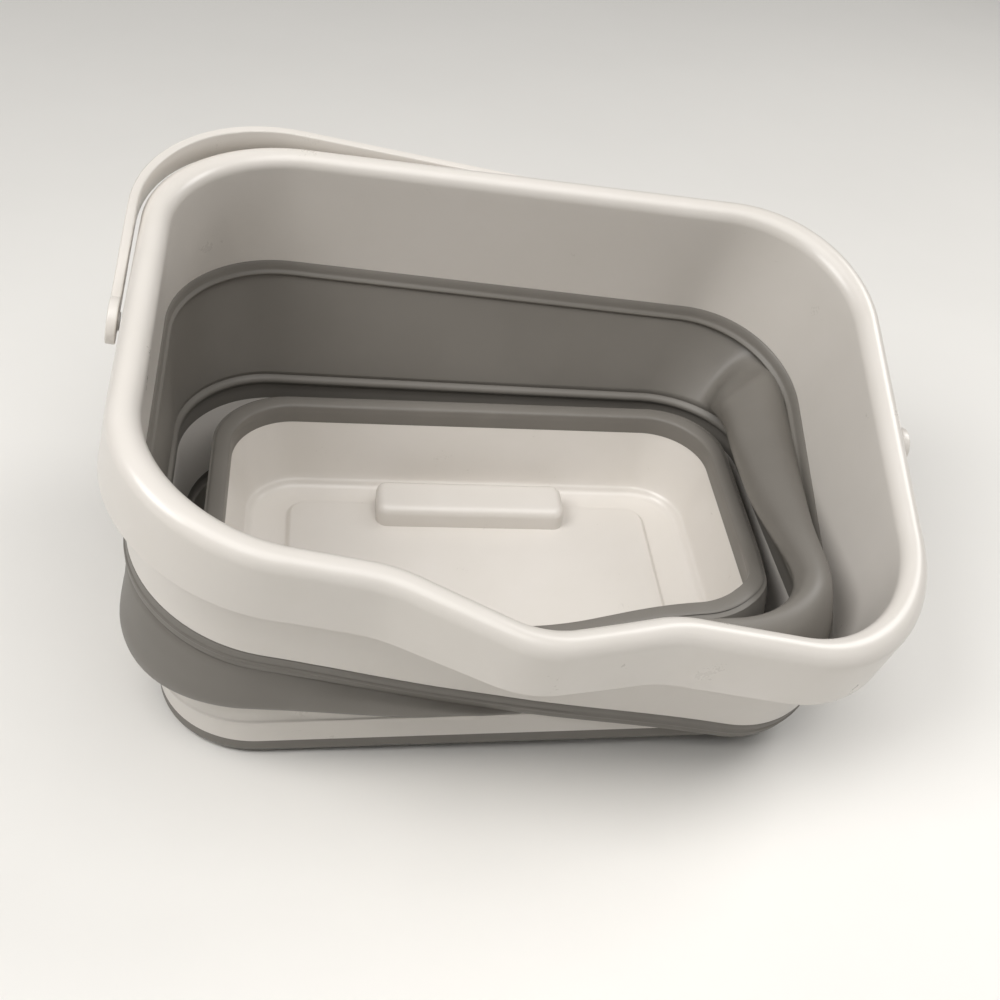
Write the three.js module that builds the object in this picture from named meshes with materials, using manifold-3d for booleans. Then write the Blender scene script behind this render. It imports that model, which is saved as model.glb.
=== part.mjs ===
import * as THREE from "three";
import { mergeVertices } from "three/addons/utils/BufferGeometryUtils.js";
import Module from "manifold-3d";

// Sizes in millimetres. Every ring follows one rounded rectangle, moved out by an offset,
// and its corner radius grows by a share of that offset.
const coreHalfLength = 95;
const coreHalfWidth = 47;
const coreRadius = 32;
const radiusGrowth = 0.7;
const wall = 2.6;
const softWall = 2.2;
const seamGap = 0.3;

// Base tray
const baseHeight = 50;
const floorTop = 12;
const floorThickness = 3;
const footWidth = 5;
const footRound = 1;
const baseDraft = 7;
const plateHalfLength = 97;
const plateHalfWidth = 55;
const plateRadius = 9;
const plateRise = 3;
const barLength = 102;
const barDepth = 25;
const barRise = 14;
const barCentreY = 48;
const barWall = 3;
const barEdge = 6;

// Middle ring
const ringOffset = 23;
const ringFloor = 1;
const ringStrip = 9;
const ringHeight = 36;
const ringDraft = 2;
const ringLineHeight = 14;
const ringLineDepth = 0.8;
const ringCollar = 17;

// Pose of the ring as photographed: off its seat and slightly flexed
const ringLift = 4;
const ringShiftX = -4;
const ringShiftY = -3;
const ringTilt = 1.4;
const ringHeading = -135;
const ringTwist = -5;

// Lower fold band
const lowerCrestRise = 11;
const lowerCrestWidth = 7.5;

// Rim, written about the level where its soft band starts
const rimOffset = 38.4;
const rimWallHeight = 57.4;
const rimWallLean = 2.4;
const lipWidth = 13.2;
const lipRise = 6.6;
const skirtDrop = 28;
const skirtFlare = 1;
const skirtWall = 2;
const rimApron = 17;
const rimStrip = 7;
const rimCollar = 8;
const collarWall = 1.6;
const spoutReach = 19.5;
const spoutCentre = -10;
const spoutHalfWidth = 58;
const spoutNoseRound = 13;
const spoutEndRound = 10;
const spoutFoot = 16;

// Pose of the rim as photographed: pressed down at its front right
const rimHeight = 97.6;
const rimShiftX = 6.3;
const rimShiftY = -1.3;
const rimTilt = 14.4;
const tiltHeading = 39.1;
const rimTwist = 17.5;

// Upper fold band
const upperLength = 74;

// Bail handle and its pivots
const strapGap = 1;
const strapThickness = 3.4;
const strapHeight = 13;
const strapLevel = 50;
const pivotLevel = 47;
const strapClimb = 46;
const lugRadius = 10;
const pinRadius = 4;
const pinClearance = 0.3;
const pinHeadRadius = 6.5;
const pinHeadThickness = 1.4;
const pinHeadSink = 1.8;

const frontSteps = 22;
const backSteps = 8;
const sideSteps = 8;
const cornerSteps = 8;

const wasm = await Module();
wasm.setup();

const rigidColour = 0xcfc9c2;
const softColour = 0x77726d;

function makeMaterial(colour, roughness) {
  return new THREE.MeshStandardMaterial({ color: colour, roughness: roughness, metalness: 0 });
}

// Stations run round the loop from the front left, seen from above against the clock.
function makeStations() {
  const stations = [];
  const sides = [
    { from: [-1, -1], to: [1, -1], normal: -90, steps: frontSteps },
    { from: [1, -1], to: [1, 1], normal: 0, steps: sideSteps },
    { from: [1, 1], to: [-1, 1], normal: 90, steps: backSteps },
    { from: [-1, 1], to: [-1, -1], normal: 180, steps: sideSteps },
  ];
  for (const side of sides) {
    for (let step = 0; step < side.steps; step += 1) {
      const share = step / side.steps;
      const sx = THREE.MathUtils.lerp(side.from[0], side.to[0], share);
      const sy = THREE.MathUtils.lerp(side.from[1], side.to[1], share);
      stations.push({ sx: sx, sy: sy, angle: side.normal });
    }
    for (let step = 0; step < cornerSteps; step += 1) {
      const angle = side.normal + (90 * step) / cornerSteps;
      stations.push({ sx: side.to[0], sy: side.to[1], angle: angle });
    }
  }
  for (const station of stations) {
    const radians = THREE.MathUtils.degToRad(station.angle);
    station.normal = new THREE.Vector3(Math.cos(radians), Math.sin(radians), 0);
  }
  return stations;
}

const stations = makeStations();

function loopPoint(station, halfLength, halfWidth, radius, level) {
  const x = station.sx * (halfLength - radius) + radius * station.normal.x;
  const y = station.sy * (halfWidth - radius) + radius * station.normal.y;
  return new THREE.Vector3(x, y, level);
}

function offsetPoint(station, offset, level) {
  const halfLength = coreHalfLength + coreRadius + offset;
  const halfWidth = coreHalfWidth + coreRadius + offset;
  return loopPoint(station, halfLength, halfWidth, coreRadius + radiusGrowth * offset, level);
}

const tiltAxis = new THREE.Vector3(1, 0, 0);
tiltAxis.applyAxisAngle(new THREE.Vector3(0, 0, 1), THREE.MathUtils.degToRad(tiltHeading));
const rimPlacement = new THREE.Matrix4();
rimPlacement.makeRotationAxis(tiltAxis, THREE.MathUtils.degToRad(rimTilt));
rimPlacement.setPosition(rimShiftX, rimShiftY, rimHeight);

const ringAxis = new THREE.Vector3(1, 0, 0);
ringAxis.applyAxisAngle(new THREE.Vector3(0, 0, 1), THREE.MathUtils.degToRad(ringHeading));
const ringPlacement = new THREE.Matrix4();
ringPlacement.makeRotationAxis(ringAxis, THREE.MathUtils.degToRad(ringTilt));
ringPlacement.setPosition(ringShiftX, ringShiftY, ringLift);

const ringHalfLength = coreHalfLength + coreRadius + ringOffset;
const ringHalfWidth = coreHalfWidth + coreRadius + ringOffset;

// Share 0 leaves a point on the base, share 1 moves it with the ring.
function placeOnRing(point, share) {
  const placed = point.clone();
  placed.z += (ringTwist * point.x * point.y) / (ringHalfLength * ringHalfWidth);
  placed.applyMatrix4(ringPlacement);
  return point.clone().lerp(placed, share);
}

const rimHalfLength = coreHalfLength + coreRadius + rimOffset + rimWallLean + lipWidth;
const rimHalfWidth = coreHalfWidth + coreRadius + rimOffset + rimWallLean + lipWidth;

// The pressed rim is flexed: two opposite corners stand higher than the other two.
function placeOnRim(point) {
  const placed = point.clone();
  placed.z += (rimTwist * point.x * point.y) / (rimHalfLength * rimHalfWidth);
  return placed.applyMatrix4(rimPlacement);
}

function geometryFrom(points, triangles) {
  const positions = [];
  for (const point of points) {
    positions.push(point.x, point.y, point.z);
  }
  const geometry = new THREE.BufferGeometry();
  geometry.setAttribute("position", new THREE.Float32BufferAttribute(positions, 3));
  geometry.setIndex(triangles);
  geometry.computeVertexNormals();
  return geometry;
}

function skin(rows, closedAlong, closedAcross) {
  const count = rows.length;
  const width = rows[0].length;
  const triangles = [];
  const lastRow = closedAlong ? count : count - 1;
  const lastColumn = closedAcross ? width : width - 1;
  for (let row = 0; row < lastRow; row += 1) {
    for (let column = 0; column < lastColumn; column += 1) {
      const a = row * width + column;
      const b = ((row + 1) % count) * width + column;
      const c = ((row + 1) % count) * width + ((column + 1) % width);
      const d = row * width + ((column + 1) % width);
      triangles.push(a, b, c, a, c, d);
    }
  }
  return triangles;
}

// A closed profile carried round every station.
function ringGeometry(profileAt) {
  const rows = stations.map(profileAt);
  return geometryFrom(rows.flat(), skin(rows, true, true));
}

// Loops stacked from the middle of the underside to the middle of the top.
function stackGeometry(loops) {
  const rows = stations.map((station) => loops.map((loop) => loop(station)));
  const points = rows.flat();
  const triangles = skin(rows, true, false);
  const width = loops.length;
  const under = points.length;
  const over = under + 1;
  points.push(new THREE.Vector3(0, 0, points[0].z));
  points.push(new THREE.Vector3(0, 0, points[width - 1].z));
  for (let row = 0; row < rows.length; row += 1) {
    const here = row * width;
    const next = ((row + 1) % rows.length) * width;
    triangles.push(under, next, here);
    triangles.push(over, here + width - 1, next + width - 1);
  }
  return geometryFrom(points, triangles);
}

function toSolid(geometry) {
  const bare = geometry.clone();
  bare.deleteAttribute("normal");
  bare.deleteAttribute("uv");
  const merged = mergeVertices(bare, 1e-4);
  const mesh = new wasm.Mesh({
    numProp: 3,
    vertProperties: new Float32Array(merged.attributes.position.array),
    triVerts: new Uint32Array(merged.index.array),
  });
  return new wasm.Manifold(mesh);
}

function fromSolid(solid) {
  const mesh = solid.getMesh();
  const geometry = new THREE.BufferGeometry();
  geometry.setAttribute("position", new THREE.BufferAttribute(new Float32Array(mesh.vertProperties), 3));
  geometry.setIndex(Array.from(mesh.triVerts));
  geometry.computeVertexNormals();
  return geometry;
}

// Base tray: foot, sloping wall, gutter and raised floor plate, with a finger bar open underneath.
function roundedSlab(length, depth, height, edge) {
  const outline = new THREE.Shape();
  const halfLength = length / 2 - edge;
  const halfDepth = depth / 2 - edge;
  outline.absarc(halfLength, halfDepth, edge, 0, Math.PI / 2);
  outline.absarc(-halfLength, halfDepth, edge, Math.PI / 2, Math.PI);
  outline.absarc(-halfLength, -halfDepth, edge, Math.PI, Math.PI * 1.5);
  outline.absarc(halfLength, -halfDepth, edge, Math.PI * 1.5, Math.PI * 2);
  const bevel = edge * 0.6;
  const slab = new THREE.ExtrudeGeometry(outline, {
    depth: height - bevel,
    bevelEnabled: true,
    bevelThickness: bevel,
    bevelSize: bevel,
    bevelOffset: -bevel,
    bevelSegments: 3,
    curveSegments: 4,
  });
  return slab;
}

const footOffset = -baseDraft - 1;

function baseTray() {
  const footInner = footOffset - footWidth;
  const underside = floorTop - floorThickness;
  const gutterOffset = -baseDraft - 8;
  const loops = [
    (station) => offsetPoint(station, footInner - 2, underside),
    (station) => offsetPoint(station, footInner, footRound),
    (station) => offsetPoint(station, footInner + footRound, 0),
    (station) => offsetPoint(station, footOffset, 0),
    (station) => offsetPoint(station, footOffset + 3, 3),
    (station) => offsetPoint(station, wall, baseHeight),
    (station) => offsetPoint(station, 0, baseHeight),
    (station) => offsetPoint(station, -baseDraft * 0.8, floorTop + 9),
    (station) => offsetPoint(station, -baseDraft - 1, floorTop + 3.5),
    (station) => offsetPoint(station, -baseDraft - 3.5, floorTop + 0.8),
    (station) => offsetPoint(station, gutterOffset, floorTop),
    (station) => loopPoint(station, plateHalfLength + 2, plateHalfWidth + 2, plateRadius + 2, floorTop),
    (station) => loopPoint(station, plateHalfLength, plateHalfWidth, plateRadius, floorTop + plateRise),
  ];
  const tray = toSolid(stackGeometry(loops));
  const bar = roundedSlab(barLength, barDepth, floorTop - underside + barRise, barEdge);
  bar.translate(0, barCentreY, underside + floorThickness / 2 - seamGap);
  const gripLength = barLength - 2 * barWall;
  const gripDepth = barDepth - 2 * barWall;
  const gripHeight = floorTop + barRise - barWall;
  const grip = roundedSlab(gripLength, gripDepth, gripHeight + barEdge, barEdge - barWall / 2);
  grip.translate(0, barCentreY, -barEdge);
  return fromSolid(tray.add(toSolid(bar)).subtract(toSolid(grip)));
}

// Middle ring with its thin raised line outside.
const ringBottom = ringFloor + ringStrip;
const ringTop = ringBottom + ringHeight;

function middleRing() {
  const bottomOffset = ringOffset - ringDraft;
  const line = ringBottom + ringLineHeight;
  const lean = (level) => bottomOffset + (ringDraft * (level - ringBottom)) / ringHeight;
  const profile = [
    [lean(ringBottom), ringBottom],
    [lean(ringBottom) + wall, ringBottom],
    [lean(line - 1.2) + wall, line - 1.2],
    [lean(line) + wall + ringLineDepth, line - 0.5],
    [lean(line) + wall + ringLineDepth, line + 0.5],
    [lean(line + 1.2) + wall, line + 1.2],
    [lean(ringTop) + wall, ringTop],
    [lean(ringTop), ringTop],
  ];
  return ringGeometry((station) => profile.map((spot) => placeOnRing(offsetPoint(station, spot[0], spot[1]), 1)));
}

// Thickens a line of [offset, level] spots into a closed profile.
function thicken(line, widths) {
  const outer = [];
  const inner = [];
  for (let spot = 0; spot < line.length; spot += 1) {
    const before = line[Math.max(spot - 1, 0)];
    const after = line[Math.min(spot + 1, line.length - 1)];
    const along = new THREE.Vector2(after[0] - before[0], after[1] - before[1]).normalize();
    const half = widths[spot] / 2;
    outer.push([line[spot][0] + along.y * half, line[spot][1] - along.x * half]);
    inner.push([line[spot][0] - along.y * half, line[spot][1] + along.x * half]);
  }
  return { outer: outer, inner: inner };
}

// Lower fold band: up from the tray's edge, over a crest and down to the middle ring's foot.
function lowerFoldBand() {
  const start = wall / 2;
  const crest = baseHeight + lowerCrestRise;
  const end = ringOffset - ringDraft + wall / 2;
  const line = [
    [start, baseHeight + seamGap],
    [start, crest - 5],
    [start + lowerCrestWidth * 0.15, crest - 2],
    [start + lowerCrestWidth * 0.5, crest - softWall / 2],
    [start + lowerCrestWidth * 0.85, crest - 2],
    [start + lowerCrestWidth, crest - 5],
    [start + lowerCrestWidth + 2.5, crest * 0.4],
    [end - 5, ringFloor + 5],
    [end - 2, ringFloor + softWall * 0.62],
    [end, ringFloor + 4],
    [end, ringBottom - seamGap],
  ];
  const widths = line.map((spot, index) => (index < 1 || index > 8 ? wall : softWall));
  const sides = thicken(line, widths);
  const shares = line.map((spot, index) => THREE.MathUtils.smoothstep(index, 5, 8));
  const profile = sides.outer.concat(sides.inner.reverse());
  const moved = shares.concat(shares.slice().reverse());
  return ringGeometry((station) =>
    profile.map((spot, index) => placeOnRing(offsetPoint(station, spot[0], spot[1]), moved[index])),
  );
}

// Rim frame: inner wall, rolled lip, outer skirt, apron below it and the pour spout at the front.
// The spout is a V with straight flanks, rounded at its nose and where the flanks start.
function spoutShare(along) {
  const nose = (along * along + spoutNoseRound * spoutNoseRound) / (2 * spoutNoseRound);
  const left = spoutHalfWidth - (along < spoutNoseRound ? nose : along);
  if (left < -spoutEndRound) {
    return 0;
  }
  const start = (left + spoutEndRound) * (left + spoutEndRound) / (4 * spoutEndRound);
  return (left < spoutEndRound ? start : left) / spoutHalfWidth;
}

function spoutShift(station, level, outside) {
  if (station.sy !== -1 || station.angle !== -90) {
    return 0;
  }
  const along = Math.abs(offsetPoint(station, rimOffset, level).x - spoutCentre);
  const rise = outside ? 1 : THREE.MathUtils.smoothstep(level, spoutFoot, rimWallHeight);
  return spoutReach * spoutShare(along) * rise;
}

function rimProfile() {
  const top = rimOffset + rimWallLean;
  const middle = top + lipWidth / 2;
  const outer = top + lipWidth;
  const skirtBottom = rimWallHeight - skirtDrop;
  const spots = [
    [rimOffset + collarWall - seamGap, -rimApron, false],
    [rimOffset + wall + 0.8, -rimApron, false],
    [rimOffset + wall + 0.8, 0, false],
    [rimOffset + wall + 1, skirtBottom, false],
    [top + wall, rimWallHeight - 3, false],
    [top + wall + 1.2, rimWallHeight, true],
    [outer - skirtWall - 1.2, rimWallHeight, true],
    [outer - skirtWall, rimWallHeight - 3, true],
    [outer + skirtFlare - skirtWall, skirtBottom, true],
    [outer + skirtFlare, skirtBottom, true],
    [outer + skirtFlare * 0.5, skirtBottom + skirtDrop / 2, true],
  ];
  const lipSteps = 8;
  for (let step = 0; step <= lipSteps; step += 1) {
    const angle = (Math.PI * step) / lipSteps;
    const offset = middle + (lipWidth / 2) * Math.cos(angle);
    spots.push([offset, rimWallHeight + lipRise * Math.sin(angle), true]);
  }
  for (const share of [0.75, 0.5, 0.25]) {
    spots.push([rimOffset + rimWallLean * share, rimWallHeight * share, false]);
  }
  spots.push([rimOffset, 0, false]);
  spots.push([rimOffset + collarWall - seamGap, 0, false]);
  return spots;
}

function rimFrame() {
  const spots = rimProfile();
  return ringGeometry((station) =>
    spots.map((spot) => {
      const shift = spoutShift(station, spot[1], spot[2]);
      return placeOnRim(offsetPoint(station, spot[0] + shift, spot[1]));
    }),
  );
}

// Upper fold band: how it leaves the ring and reaches the rim, by heading round the bucket.
// Angles run from outward (0) through upward (90). Slack makes it bulge out or fold in.
// Drop moves its seat from the collar (0) to the foot of the rim's soft strip (1), and slack
// is the share of the spare length that shows. Collar is the share of the upright collar's height.
const foldShapes = [
  { heading: -180, leave: 80, reach: 78, drop: 0, slack: 0.05, collar: 1 },
  { heading: -168, leave: 80, reach: 80, drop: 0, slack: 0.05, collar: 1 },
  { heading: -162, leave: 50, reach: 78, drop: 0.6, slack: 0.3, collar: 0.7 },
  { heading: -156, leave: -30, reach: 68, drop: 1, slack: 0.7, collar: 0.45 },
  { heading: -149, leave: -46, reach: 70, drop: 1, slack: 0.66, collar: 0.4 },
  { heading: -134, leave: -54, reach: 76, drop: 1, slack: 0.52, collar: 0.35 },
  { heading: -122, leave: -52, reach: 80, drop: 1, slack: 0.42, collar: 0.35 },
  { heading: -112, leave: -36, reach: 80, drop: 1, slack: 0.24, collar: 0.4 },
  { heading: -103, leave: 20, reach: 66, drop: 0.8, slack: 0.08, collar: 0.5 },
  { heading: -95, leave: 80, reach: 20, drop: 0.3, slack: 0.1, collar: 0.9 },
  { heading: -86, leave: 96, reach: -60, drop: 0, slack: 0.25, collar: 1 },
  { heading: -70, leave: 98, reach: -86, drop: 0, slack: 0.4, collar: 1 },
  { heading: -45, leave: 106, reach: -88, drop: 0, slack: 0.64, collar: 1 },
  { heading: -22, leave: 128, reach: -50, drop: 0, slack: 0.68, collar: 1 },
  { heading: 0, leave: 134, reach: -22, drop: 0, slack: 0.55, collar: 1 },
  { heading: 22, leave: 130, reach: 0, drop: 0, slack: 0.45, collar: 1 },
  { heading: 40, leave: 110, reach: 36, drop: 0, slack: 0.32, collar: 1 },
  { heading: 56, leave: 82, reach: 74, drop: 0, slack: 0.05, collar: 1 },
  { heading: 180, leave: 80, reach: 78, drop: 0, slack: 0.05, collar: 1 },
];

function foldShape(heading) {
  let index = 0;
  while (heading > foldShapes[index + 1].heading) {
    index += 1;
  }
  const from = foldShapes[index];
  const to = foldShapes[index + 1];
  const share = THREE.MathUtils.smoothstep(heading, from.heading, to.heading);
  return {
    leave: THREE.MathUtils.degToRad(THREE.MathUtils.lerp(from.leave, to.leave, share)),
    reach: THREE.MathUtils.degToRad(THREE.MathUtils.lerp(from.reach, to.reach, share)),
    drop: THREE.MathUtils.lerp(from.drop, to.drop, share),
    slack: THREE.MathUtils.lerp(from.slack, to.slack, share),
    collar: THREE.MathUtils.lerp(from.collar, to.collar, share),
  };
}

const bandSteps = 12;

// A smooth line from [0, 0] to the target whose pull is raised until it has the wanted length.
function slackLine(target, shape, length) {
  const draw = (pull) => {
    const spots = [];
    for (let step = 0; step <= bandSteps; step += 1) {
      const t = step / bandSteps;
      const toEnd = t * t * (3 - 2 * t);
      const fromStart = t * (1 - t) * (1 - t) * pull;
      const intoEnd = t * t * (t - 1) * pull;
      const out = toEnd * target.x + fromStart * Math.cos(shape.leave) + intoEnd * Math.cos(shape.reach);
      const up = toEnd * target.y + fromStart * Math.sin(shape.leave) + intoEnd * Math.sin(shape.reach);
      spots.push([out, up]);
    }
    return spots;
  };
  const measure = (spots) => {
    let total = 0;
    for (let spot = 1; spot < spots.length; spot += 1) {
      total += Math.hypot(spots[spot][0] - spots[spot - 1][0], spots[spot][1] - spots[spot - 1][1]);
    }
    return total;
  };
  let low = target.length() * 0.6;
  let high = length * 2.4;
  for (let pass = 0; pass < 24; pass += 1) {
    const pull = (low + high) / 2;
    if (measure(draw(pull)) < length) {
      low = pull;
    } else {
      high = pull;
    }
  }
  return draw(low);
}

function upperBandProfile(station) {
  const collarFoot = ringTop + seamGap;
  const collarOffset = ringOffset + wall / 2;
  const foot = offsetPoint(station, collarOffset, ringTop);
  const heading = THREE.MathUtils.radToDeg(Math.atan2(foot.y, foot.x));
  const shape = foldShape(heading);
  const collarTop = ringTop + ringCollar * shape.collar;
  const flat = offsetPoint(station, collarOffset, collarTop);
  const start = placeOnRing(flat, 1);
  const moved = start.clone().sub(flat);
  const apronEdge = rimOffset + wall + 0.8;
  const stripFoot = -rimApron - rimStrip;
  const seatOffset = THREE.MathUtils.lerp(rimOffset - seamGap - softWall / 2, rimOffset + 1, shape.drop);
  const seatLevel = THREE.MathUtils.lerp(-rimCollar, stripFoot + 0.6, shape.drop);
  const end = placeOnRim(offsetPoint(station, seatOffset, seatLevel));
  const gap = end.clone().sub(start);
  const sideways = gap.clone().addScaledVector(station.normal, -gap.dot(station.normal));
  sideways.z = 0;
  const target = new THREE.Vector2(gap.dot(station.normal), gap.z);
  const fullLength = upperLength + seatLevel + rimCollar;
  const length = THREE.MathUtils.lerp(target.length(), fullLength, shape.slack);
  const free = slackLine(target, shape, length);
  const line = free.map((spot) => [collarOffset + spot[0], collarTop + spot[1]]);
  const sides = thicken(line, line.map(() => softWall));
  const lift = (spot, index) => {
    const share = index / bandSteps;
    return offsetPoint(station, spot[0], spot[1]).add(moved).addScaledVector(sideways, share);
  };
  const ring = (offset, level) => placeOnRing(offsetPoint(station, offset, level), 1);
  const rim = (offset, level) => placeOnRim(offsetPoint(station, offset, level));
  const collarAt = (share) => THREE.MathUtils.lerp(collarFoot, collarTop, share);
  const innerSide = [
    ring(ringOffset, collarFoot),
    ring(ringOffset, collarAt(0.6)),
    ring(ringOffset - 1.2 * shape.collar, collarAt(0.72)),
    ring(ringOffset, collarAt(0.84)),
  ];
  const outerSide = [
    ring(ringOffset + wall, collarAt(0.7)),
    ring(ringOffset + wall, collarFoot),
  ];
  const freeInner = sides.inner.slice(1, bandSteps).map((spot, index) => lift(spot, index + 1));
  const freeOuter = sides.outer.slice(1, bandSteps).map((spot, index) => lift(spot, index + 1)).reverse();
  const footOffset = THREE.MathUtils.lerp(rimOffset, apronEdge - 0.6, shape.drop);
  const rimSide = [
    rim(rimOffset - seamGap - softWall, seatLevel + softWall / 2 + 1.2),
    rim(rimOffset - seamGap, -seamGap),
    rim(rimOffset + collarWall - 2 * seamGap, -seamGap),
    rim(rimOffset + collarWall - 2 * seamGap, -rimApron - seamGap),
    rim(apronEdge, -rimApron - seamGap),
    rim(apronEdge + 0.5, -rimApron - 2),
    rim(apronEdge, -rimApron - 3.5),
    rim(apronEdge, stripFoot),
    rim(footOffset, stripFoot),
    rim(footOffset, Math.max(seatLevel - softWall / 2 - 1.2, stripFoot) - 0.1),
  ];
  return innerSide.concat(freeInner, rimSide, freeOuter, outerSide).reverse();
}

function upperFoldBand() {
  return ringGeometry(upperBandProfile);
}

// Bail handle: a strap round the back of the rim with a lug on each pivot pin.
const strapOffset = rimOffset + rimWallLean + lipWidth + skirtFlare + strapGap + strapThickness / 2;
const pivotX = coreHalfLength + coreRadius + strapOffset;

function strapPath() {
  const spots = [];
  for (const station of stations) {
    const point = offsetPoint(station, strapOffset, 0);
    if (point.y > 1) {
      spots.push({ point: point, normal: station.normal });
    }
  }
  spots.unshift({ point: new THREE.Vector3(pivotX, 0, 0), normal: new THREE.Vector3(1, 0, 0) });
  spots.push({ point: new THREE.Vector3(-pivotX, 0, 0), normal: new THREE.Vector3(-1, 0, 0) });
  for (const spot of spots) {
    const climb = THREE.MathUtils.smoothstep(spot.point.y, 0, strapClimb);
    spot.point.z = THREE.MathUtils.lerp(pivotLevel, strapLevel, climb);
  }
  return spots;
}

function bailHandle() {
  const half = strapThickness / 2;
  const rise = strapHeight / 2;
  const edge = 0.8;
  const section = [
    [-half, -rise + edge],
    [-half + edge, -rise],
    [half + edge, -rise],
    [half + edge, -rise + 2],
    [half, -rise + 3],
    [half, rise - 3],
    [half + edge, rise - 2],
    [half + edge, rise],
    [-half + edge, rise],
    [-half, rise - edge],
  ];
  const rows = strapPath().map((spot) =>
    section.map((corner) => {
      const point = spot.point.clone().addScaledVector(spot.normal, corner[0]);
      point.z += corner[1];
      return point;
    }),
  );
  const points = rows.flat();
  const triangles = skin(rows, false, true);
  const width = section.length;
  const last = (rows.length - 1) * width;
  const caps = THREE.ShapeUtils.triangulateShape(section.map((spot) => new THREE.Vector2(spot[0], spot[1])), []);
  for (const cap of caps) {
    triangles.push(cap[0], cap[1], cap[2]);
    triangles.push(last + cap[2], last + cap[1], last + cap[0]);
  }
  let solid = toSolid(geometryFrom(points, triangles));
  for (const side of [-1, 1]) {
    const lug = new THREE.CylinderGeometry(lugRadius, lugRadius, strapThickness + edge, 28);
    lug.rotateZ(Math.PI / 2);
    lug.translate(side * (pivotX + edge / 2), 0, pivotLevel);
    const hole = new THREE.CylinderGeometry(pinRadius + pinClearance, pinRadius + pinClearance, 30, 24);
    hole.rotateZ(Math.PI / 2);
    hole.translate(side * pivotX, 0, pivotLevel);
    const seat = new THREE.CylinderGeometry(pinHeadRadius + pinClearance, pinHeadRadius + pinClearance, 10, 24);
    seat.rotateZ(Math.PI / 2);
    seat.translate(side * (pivotX + half + edge - pinHeadSink + 5), 0, pivotLevel);
    solid = solid.add(toSolid(lug)).subtract(toSolid(hole)).subtract(toSolid(seat));
  }
  return fromSolid(solid).applyMatrix4(rimPlacement);
}

// Pivot pin: a stud on the skirt whose head sits flush in the lug.
function pivotPin(side) {
  const skirtFace = coreHalfLength + coreRadius + rimOffset + rimWallLean + lipWidth + skirtFlare;
  const lugFace = pivotX + strapThickness / 2 + 0.8;
  const shaftStart = skirtFace + seamGap / 2;
  const headStart = lugFace - pinHeadSink + pinClearance;
  const profile = [
    new THREE.Vector2(0, shaftStart),
    new THREE.Vector2(pinRadius, shaftStart),
    new THREE.Vector2(pinRadius, headStart),
    new THREE.Vector2(pinHeadRadius, headStart),
    new THREE.Vector2(pinHeadRadius - 0.5, headStart + pinHeadThickness),
    new THREE.Vector2(0, headStart + pinHeadThickness),
  ];
  const pin = new THREE.LatheGeometry(profile, 24);
  pin.rotateZ(-side * Math.PI / 2);
  pin.translate(0, 0, pivotLevel);
  return fromSolid(toSolid(pin)).applyMatrix4(rimPlacement);
}

const rigid = () => makeMaterial(rigidColour, 0.35);
const soft = () => makeMaterial(softColour, 0.6);

const pieces = [
  ["base_tray", baseTray(), rigid()],
  ["lower_fold_band", lowerFoldBand(), soft()],
  ["middle_ring", middleRing(), rigid()],
  ["upper_fold_band", upperFoldBand(), soft()],
  ["rim_frame", rimFrame(), rigid()],
  ["bail_handle", bailHandle(), rigid()],
  ["left_pivot_pin", pivotPin(-1), rigid()],
  ["right_pivot_pin", pivotPin(1), rigid()],
];

// The frame starts on the flat of the foot, in the middle of the front side.
const footMiddle = coreHalfWidth + coreRadius + footOffset - (footWidth - footRound) / 2;

const bucket = new THREE.Group();
bucket.name = "collapsible_bucket";
for (const [name, geometry, material] of pieces) {
  geometry.translate(0, footMiddle, 0);
  const mesh = new THREE.Mesh(geometry, material);
  mesh.name = name;
  bucket.add(mesh);
}

export default bucket;
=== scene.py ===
import math

import bmesh
import bpy
import numpy as np
from mathutils import Matrix, Vector


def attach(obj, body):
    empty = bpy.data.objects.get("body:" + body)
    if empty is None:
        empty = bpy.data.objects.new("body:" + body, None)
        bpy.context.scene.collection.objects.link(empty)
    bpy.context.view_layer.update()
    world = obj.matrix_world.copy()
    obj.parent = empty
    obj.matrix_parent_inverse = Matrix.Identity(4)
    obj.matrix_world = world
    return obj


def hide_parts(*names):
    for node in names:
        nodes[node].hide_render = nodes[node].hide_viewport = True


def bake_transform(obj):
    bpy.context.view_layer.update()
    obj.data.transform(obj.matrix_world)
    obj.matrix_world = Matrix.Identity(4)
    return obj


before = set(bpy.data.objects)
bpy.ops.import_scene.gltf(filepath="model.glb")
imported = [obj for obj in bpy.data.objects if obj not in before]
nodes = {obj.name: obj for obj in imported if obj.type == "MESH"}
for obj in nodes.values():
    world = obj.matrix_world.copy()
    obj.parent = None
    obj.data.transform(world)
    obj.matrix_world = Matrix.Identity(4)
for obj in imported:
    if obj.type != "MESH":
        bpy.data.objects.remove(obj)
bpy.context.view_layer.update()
print("stage 1: frame loaded")

mm = 0.001
frameShift = 69.0  # the frame starts on the foot, in the middle of the front side
sharpAngle = math.radians(38)  # edges that bend more than this stay sharp
weldGap = 2e-6  # metres
rounding = {"profile": 0.5, "affect": "EDGES", "material": -1}  # for every bevel

# every ring follows one rounded rectangle, moved out by an offset
core = {"halfLength": 95.0, "halfWidth": 47.0, "radius": 32.0, "growth": 0.7, "wall": 2.6, "softWall": 2.2}
steps = {"front": 120, "back": 60, "side": 44, "corner": 30}


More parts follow.
